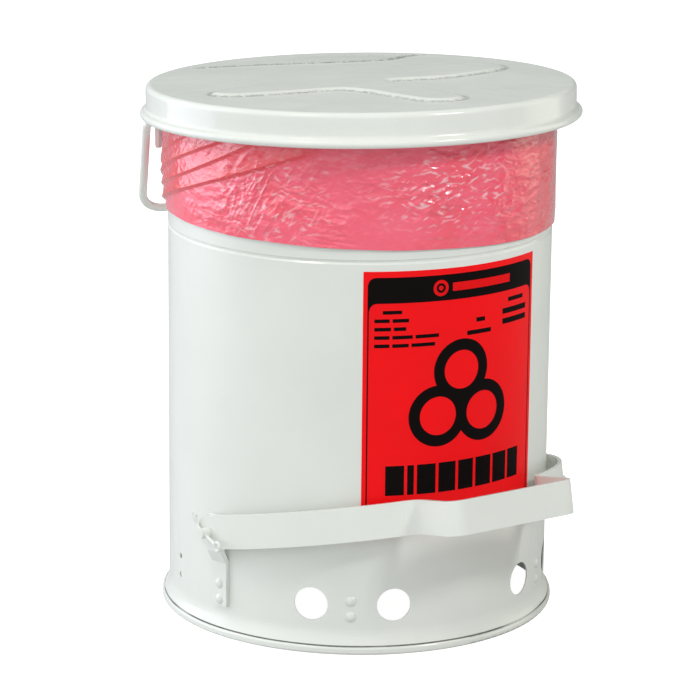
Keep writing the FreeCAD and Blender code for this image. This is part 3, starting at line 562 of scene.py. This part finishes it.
RIB = closed_curve([
    (-128, 4), (-118, -11), (-82, -20), (-42, -28), (-29, -48), (-25, -80), (-19, -112),
    (0, -121), (14, -108), (14, -62), (12, -16), (56, -24), (101, -19), (128, -6),
    (130, 14), (112, 27), (84, 31), (40, 20), (-15, 9), (-56, 13), (-108, 17)])
DENT = closed_curve([
    (-150, 150), (-58, 128), (1, 110), (75, 82), (112, 88), (170, 60), (170, 170),
    (-150, 170)])
RIB_HEIGHT, RIB_FOOT = 1.7, 0.45
DENT_DEPTH, DENT_LIP, DENT_GROOVE = 0.5, 0.3, 1.9
SLACK = 0.16


def outline_distance(x, y, outline):
    """Signed distance to a closed outline, positive inside."""
    starts, ends = outline, np.roll(outline, -1, 0)
    best = np.full(x.shape, 1e9)
    inside = np.zeros(x.shape, bool)
    for (ax, ay), (bx, by) in zip(starts, ends):
        dx, dy = bx - ax, by - ay
        t = np.clip(((x - ax) * dx + (y - ay) * dy) / (dx * dx + dy * dy), 0, 1)
        best = np.minimum(best, np.hypot(x - ax - t * dx, y - ay - t * dy))
        if ay != by:
            crosses = ((ay > y) != (by > y)) & (x < (bx - ax) * (y - ay) / (by - ay) + ax)
            inside ^= crosses
    return np.where(inside, best, -best)


def lid_relief(x, y):
    """(height, painted shade) of the pressed top: the rib with a fold at its foot, and a slack
    dent with a groove along its front; shade is painted at the rib's foot and in the dent's
    groove, and faintly over the dent towards the right."""
    rib, dent = outline_distance(x, y, RIB), outline_distance(x, y, DENT)
    radius = np.hypot(x, y)
    inside_rim = smoothstep(0, 1, (LID_FLAT - radius) / 12)
    fading = smoothstep(0, 1, (157 - radius) / 18)
    height = RIB_HEIGHT * smoothstep(-2.4, 2.8, rib) - RIB_FOOT * bell(rib + 3.4, 1.7)
    height -= DENT_DEPTH * smoothstep(-2.4, 2.8, dent) * fading
    height += DENT_LIP * bell(dent + 4.0, 2.6) * fading
    height -= DENT_GROOVE * bell(dent - 2.4, 2.6) * fading
    height += SLACK * np.sin(x / 31.0 + 0.6) * np.cos(y / 27.0)
    # painted shade: darker at the rib's foot and in the dent's groove, faintly over the dent's
    # right
    painted_shade = bell(rib + 2.8, 1.7) + 1.7 * bell(dent - 4.4, 2.5) * fading
    painted_shade += 0.16 * smoothstep(0.0, 6.0, dent) * smoothstep(-30, 60, x) * fading
    return height * inside_rim, painted_shade * inside_rim


def tilt_lid(points):
    """Turns points from the level lid's frame to where the lid rests."""
    points = np.asarray(points, float)
    y, z = points[:, 1] - HINGE_Y, points[:, 2] - HINGE_Z
    c, s = math.cos(LID_REST_TILT), math.sin(LID_REST_TILT)
    return np.stack([points[:, 0], HINGE_Y + y * c + z * s, HINGE_Z - y * s + z * c], 1)


def arc(cx, cz, radius, start, end, count):
    turn = np.radians(np.linspace(start, end, count))
    return [(cx + radius * math.cos(t), cz + radius * math.sin(t)) for t in turn]


def make_lid(material):
    rings = np.concatenate([[1.5], np.arange(3.0, LID_FLAT, RELIEF_PITCH)])
    side = arc(LID_FLAT, LID_TOP - LID_EDGE, LID_EDGE, 90, 0, 9)
    side += [(LID_RADIUS, 388.0), (LID_RADIUS, 381.0), (LID_RADIUS + 0.15, 379.2)]
    side += arc(BEAD_RADIUS, BEAD_LEVEL, BEAD, 88, -180, 26)
    side += [(LID_INSIDE, 376.5), (LID_INSIDE, 392.0)]
    side += arc(LID_INSIDE - 3, LID_TOP - LID_SHEET - 3, 3, 0, 90, 6)
    profile = [(radius, LID_TOP) for radius in rings] + side
    profile += [(radius, LID_TOP - LID_SHEET) for radius in rings[::-1]]
    turns = np.linspace(0, 360, LID_SEGMENTS, endpoint=False)
    loops, painted_shade_loops = [], []
    for number, (radius, level) in enumerate(profile):
        loop = round_wall(radius, turns, np.full(LID_SEGMENTS, level))
        painted_shade = np.zeros(LID_SEGMENTS)
        if number < len(rings) or number >= len(profile) - len(rings):
            rise, painted_shade = lid_relief(loop[:, 0], loop[:, 1])
            loop[:, 2] += rise
        loops.append(loop)
        painted_shade_loops.append(painted_shade)
    middle = LID_TOP + lid_relief(np.zeros(1), np.zeros(1))[0][0]
    points = np.vstack(loops + [[(0, 0, middle), (0, 0, middle - LID_SHEET)]])
    faces = grid_faces(len(profile), LID_SEGMENTS, 0, True)
    top_middle = len(profile) * LID_SEGMENTS
    last_loop = top_middle - LID_SEGMENTS
    for j in range(LID_SEGMENTS):
        k = (j + 1) % LID_SEGMENTS
        faces.append((top_middle, k, j))
        faces.append((top_middle + 1, last_loop + j, last_loop + k))
    faces = [face[::-1] for face in faces]
    cover = make_object("lid_cover", tilt_lid(points), faces, material, "lid")
    fill_attribute(cover, "painted_shade", np.append(np.concatenate(painted_shade_loops), (0.0, 0.0)))
    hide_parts("lid_shell")


# ---------------------------------------------------------------------------------------
# Bag: one sheet of film, from the hem of the cuff over the rim to the bottom
# ---------------------------------------------------------------------------------------
WALL_RADIUS = 145.6
CUFF_RADIUS, CUFF_LEAST, CUFF_MOST, CUFF_MOST_BEHIND = 147.0, 146.5, 152.3, 149.7
HEM_LEVEL, HEM_TILT, HEM_LOW_SIDE = 303.5, 4.6, 105
SHOULDER, RIM_RISE, RIM_INSIDE = 387.0, 5.4, 142.9
INSIDE_RADIUS, INSIDE_TOP, INSIDE_FOOT, INSIDE_MOST = 142.4, 389.0, 106.0, 143.9
FLOOR_RADIUS, FLOOR_LEVEL, FLOOR_MIDDLE = 140.0, 101.5, 102.5
BAG_COLUMNS, CUFF_ROWS, RIM_ROWS, INSIDE_ROWS, FLOOR_ROWS = 1200, 112, 12, 50, 22
BAG_ANGLES = np.linspace(-180, 180, BAG_COLUMNS, endpoint=False)
# level at PLEAT_START, slope and curve in mm per degree, lift, and the angle where it ends
PLEAT_START = -108
PLEATS = ((345.5, 0.95, 0.0, 2.3, -66), (333.6, 0.76, 0.006, 2.2, -56),
          (323.0, 0.76, 0.0015, 2.6, -40), (357.0, 1.1, 0.0, 1.6, -82))


def rough(points, scale, seed):
    """Noise from -1 to 1 at each point, in features of about that many millimetres."""
    shift = Vector((seed * 17.3, seed * 5.7, seed * 9.1))
    return np.array([noise.noise(Vector(p) / scale + shift) for p in points])


def leaning(around, level, lean):
    """Distances along and across a direction that leans from the horizontal, in degrees."""
    c, s = math.cos(math.radians(lean)), math.sin(math.radians(lean))
    return around * c + level * s, level * c - around * s


def flat_rough(along, across, scale, seed):
    return rough(np.stack([along, across, 0 * along], 1), scale, seed)


def creases(around, level, lean, length, width, seed):
    """Sharp ridges in patches, longer along the direction that leans."""
    along, across = leaning(around, level, lean)
    warp = 7.0 * flat_rough(along, across, 30.0, seed + 3)
    value = flat_rough(along / length, (across + warp) / width, 1.0, seed)
    patches = smoothstep(-0.25, 0.35, flat_rough(around, level, 26.0, seed + 5))
    return (1 - np.abs(value) * 3.4).clip(0, 1) ** 1.6 * (0.15 + 0.85 * patches)


def streaks(around, level, lean, length, width, seed):
    """Short strokes of painted glint, longer along the direction that leans."""
    along, across = leaning(around, level, lean)
    across = across + 3.0 * flat_rough(along, across, 16.0, seed + 3)
    return smoothstep(0.27, 0.62, flat_rough(along / length, across / width, 1.0, seed))


def cuff_folds(level):
    """(lift, layers and painted shade) of the slanting pleats at the left, from their lower edges
    up;
    the dark band just below each edge is partly the film tucked there and partly painted shade.
    """
    lift, layers_and_shade = np.zeros(BAG_COLUMNS), np.zeros(BAG_COLUMNS)
    for start, slope, curve, size, last in PLEATS:
        along = BAG_ANGLES - PLEAT_START
        edge = start + slope * along + curve * along ** 2 * (along > 0)
        fade = smoothstep(-158, -126, BAG_ANGLES) * (1 - smoothstep(last - 14, last, BAG_ANGLES))
        above = level - edge
        past = np.clip(above, 0, None)
        lift += size * fade * smoothstep(-0.9, 0.5, above) * np.exp(-past / 8.0)
        layers_and_shade = np.maximum(layers_and_shade, fade * smoothstep(-1.2, 0.2, above) * np.exp(-past / 16.0))
        # painted shade under each pleat's overhanging edge, with the tucked film's extra layer
        layers_and_shade = np.maximum(layers_and_shade, 0.9 * fade * bell(above + 1.3, 0.9))
    return lift, layers_and_shade


def cuff_row(level, share):
    """(radius, layers and painted shade, painted glint) round the cuff; share goes from 0 at the
    hem to 1 at the rim.
    """
    around = np.radians(BAG_ANGLES) * WALL_RADIUS
    place = round_wall(WALL_RADIUS, BAG_ANGLES, level)
    lift, layers_and_shade = cuff_folds(level)
    # painted shade: the film is deeper red over its right side
    shaded_right_side = smoothstep(0, 38, BAG_ANGLES) * (1 - smoothstep(120, 160, BAG_ANGLES))
    layers_and_shade = np.maximum(layers_and_shade, 0.72 * shaded_right_side)

    # creases die out where the sheet's two ends meet behind, and near the tight hem
    seam = 1 - smoothstep(166, 179, np.abs(BAG_ANGLES))
    tight = smoothstep(0, 0.12, share) * 0.75 + 0.25
    right_half = smoothstep(-60, -20, BAG_ANGLES)
    calm_side = smoothstep(14, 34, BAG_ANGLES) * (1 - smoothstep(80, 110, BAG_ANGLES))
    calm = 1 - 0.65 * calm_side
    crumpled = bell(BAG_ANGLES + 61, 15.0) * bell(level - 334, 30.0)
    crumpled += bell(BAG_ANGLES + 8, 17.0) * bell(level - 344, 22.0)

    fine = creases(around, level, -12, 24.0, 7.0, 4) * (0.35 + 0.65 * right_half)
    fine += creases(around, level, 14, 17.0, 6.0, 7) * (0.35 + 0.35 * right_half)
    fine += creases(around, level, 60, 26.0, 7.5, 9) * (0.9 - 0.7 * right_half)
    sharp = creases(around, level, -14, 15.0, 4.6, 21)
    sharp += creases(around, level, 38, 13.0, 4.4, 27)
    ridge = 0.72 * fine * calm * (0.7 + 0.9 * crumpled) + 0.8 * crumpled * sharp

    # painted glint: short pale strokes over the crumpled patches stand for highlights
    streak = streaks(around, level, -22, 8.0, 1.9, 41)
    streak += streaks(around, level, 20, 7.0, 1.8, 43)
    streak += 0.8 * streaks(around, level, 62, 9.0, 1.8, 47) * (1 - right_half)
    pressed = smoothstep(0.12, 0.75, crumpled + 0.17 * calm) * seam
    glint = np.clip(0.8 * pressed * streak * (0.6 + 0.4 * right_half), 0, 0.75)

    slack = 0.5 + 0.5 * rough(place, 45.0, 2)
    radius = CUFF_RADIUS + 0.9 * slack * tight + ridge * seam * tight + lift
    radius += 0.5 * rough(place, 19.0, 5) * tight
    radius += 1.4 * bell(BAG_ANGLES + 122, 26.0) * bell(level - 358, 26.0)
    radius += 1.3 * smoothstep(0.86, 1.0, share)
    radius = np.maximum(radius, CUFF_LEAST + 2.3 * smoothstep(383.5, 386.5, level))
    behind = smoothstep(128, 150, np.abs(BAG_ANGLES))
    radius = np.minimum(radius, CUFF_MOST + (CUFF_MOST_BEHIND - CUFF_MOST) * behind)
    return radius, layers_and_shade, glint


def make_bag(material):
    columns, angles = BAG_COLUMNS, BAG_ANGLES
    rows, layer_and_shade_rows, glint_rows = [], [], []

    hem = HEM_LEVEL + HEM_TILT * np.cos(np.radians(angles + HEM_LOW_SIDE))
    hem += 0.9 * rough(round_wall(50.0, angles, np.zeros(columns)), 14.0, 1)
    for share in np.arange(CUFF_ROWS) / (CUFF_ROWS - 1):
        level = hem + (SHOULDER - hem) * share
        cuff, layers_and_shade, glint = cuff_row(level, share)
        rows.append(round_wall(cuff, angles, level))
        layer_and_shade_rows.append(layers_and_shade)
        glint_rows.append(glint)

    for i in range(1, RIM_ROWS + 1):
        turn = math.radians(180 * i / (RIM_ROWS + 1))
        radius = (cuff + RIM_INSIDE) / 2 + (cuff - RIM_INSIDE) / 2 * math.cos(turn)
        level = SHOULDER + RIM_RISE * math.sin(turn) + (INSIDE_TOP - SHOULDER) * i / RIM_ROWS
        rows.append(round_wall(radius, angles, np.full(columns, level)))
        layer_and_shade_rows.append(layer_and_shade_rows[-1] * 0.7)

    for share in np.arange(INSIDE_ROWS) / (INSIDE_ROWS - 1):
        level = INSIDE_TOP - (INSIDE_TOP - INSIDE_FOOT) * share
        # stretched downwards, so that the pleats inside run down the wall
        place = round_wall(WALL_RADIUS, angles, np.full(columns, level * 0.35))
        pleats = rough(place, 16.0, 11) + 0.6 * rough(place, 7.0, 12)
        radius = INSIDE_RADIUS + 1.3 * pleats * smoothstep(0, 0.1, share)
        radius = np.minimum(radius - 1.2 * smoothstep(0.8, 1.0, share), INSIDE_MOST)
        rows.append(round_wall(radius, angles, np.full(columns, level)))
        layer_and_shade_rows.append(0.25 + 0.25 * np.clip(pleats, 0, 1))

    for share in np.arange(1, FLOOR_ROWS) / FLOOR_ROWS:
        radius = np.full(columns, FLOOR_RADIUS * (1 - share))
        place = round_wall(radius, angles, np.zeros(columns))
        level = FLOOR_LEVEL + 3.5 * (1 - share) ** 12 + 1.8 * np.abs(rough(place, 22.0, 14))
        rows.append(round_wall(radius, angles, level))
        layer_and_shade_rows.append(np.full(columns, 0.35))

    points = np.vstack(rows + [[(0.0, 0.0, FLOOR_MIDDLE)]])
    faces = grid_faces(len(rows), columns, 0, True)
    middle = len(rows) * columns
    last_row = middle - columns
    faces += [(last_row + j, last_row + (j + 1) % columns, middle) for j in range(columns)]
    film = make_object("liner_film", points, faces, material, "can")
    fill_attribute(film, "layers_and_shade", np.append(np.concatenate(layer_and_shade_rows), 0.3))
    glints = np.concatenate(glint_rows)
    fill_attribute(film, "glint", np.pad(glints, (0, len(points) - len(glints))))
    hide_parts("liner_bag")


# ---------------------------------------------------------------------------------------
# A dark ring of painted shade, with dirt, in the seam between the skirt's flared foot and the
# base ring
# ---------------------------------------------------------------------------------------
SEAM_SEGMENTS = 288
SEAM_SECTION = ((149.1, 6.2), (149.9, 6.2), (150.05, 6.6), (149.75, 7.0), (149.3, 7.1))


def make_base_seam():
    turns = np.linspace(0, 360, SEAM_SEGMENTS, endpoint=False)
    wander = 0.12 * np.sin(np.radians(turns) * 7) + 0.08 * np.sin(np.radians(turns) * 17 + 1)
    loops = [round_wall(radius + wander, turns, np.full(SEAM_SEGMENTS, level))
             for radius, level in SEAM_SECTION]
    faces = grid_faces(len(loops), SEAM_SEGMENTS, 0, True)
    last = (len(loops) - 1) * SEAM_SEGMENTS
    for j in range(SEAM_SEGMENTS):
        k = (j + 1) % SEAM_SEGMENTS
        faces.append((last + j, last + k, k, j))
    # painted shade: a dark ring set in the crevice where the skirt meets the base ring
    make_object("base_seam", np.vstack(loops), faces, seam_shade_and_dust(), "can")


# ---------------------------------------------------------------------------------------
# Putting it together
# ---------------------------------------------------------------------------------------
scene.view_settings.view_transform = "Standard"
make_camera()
make_world()
make_floor()
for panel in PANELS:
    make_panel(*panel)

by_slot = {
    "painted_steel": powder_coat("powder_coat_white", WHITE),
    "painted_fastener": powder_coat("powder_coat_fastener", shade(WHITE, 0.97), 1.3, 0.5),
    "painted_wire": powder_coat("powder_coat_wire", shade(WHITE, 0.98), 0.8, 0.5),
    "plated_steel": plated("zinc_plate", ZINC, 0.34),
    "label_film": label_red(),
    "liner_film": bag_film(),
}
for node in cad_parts.values():
    for slot in node.material_slots:
        slot.material = by_slot[slot.material.name]

draw_label()
# the lid's paint carries painted shade in its creases
make_lid(powder_coat("powder_coat_lid", WHITE, 1.6, with_painted_shade=True))
make_bag(by_slot["liner_film"])
make_base_seam()
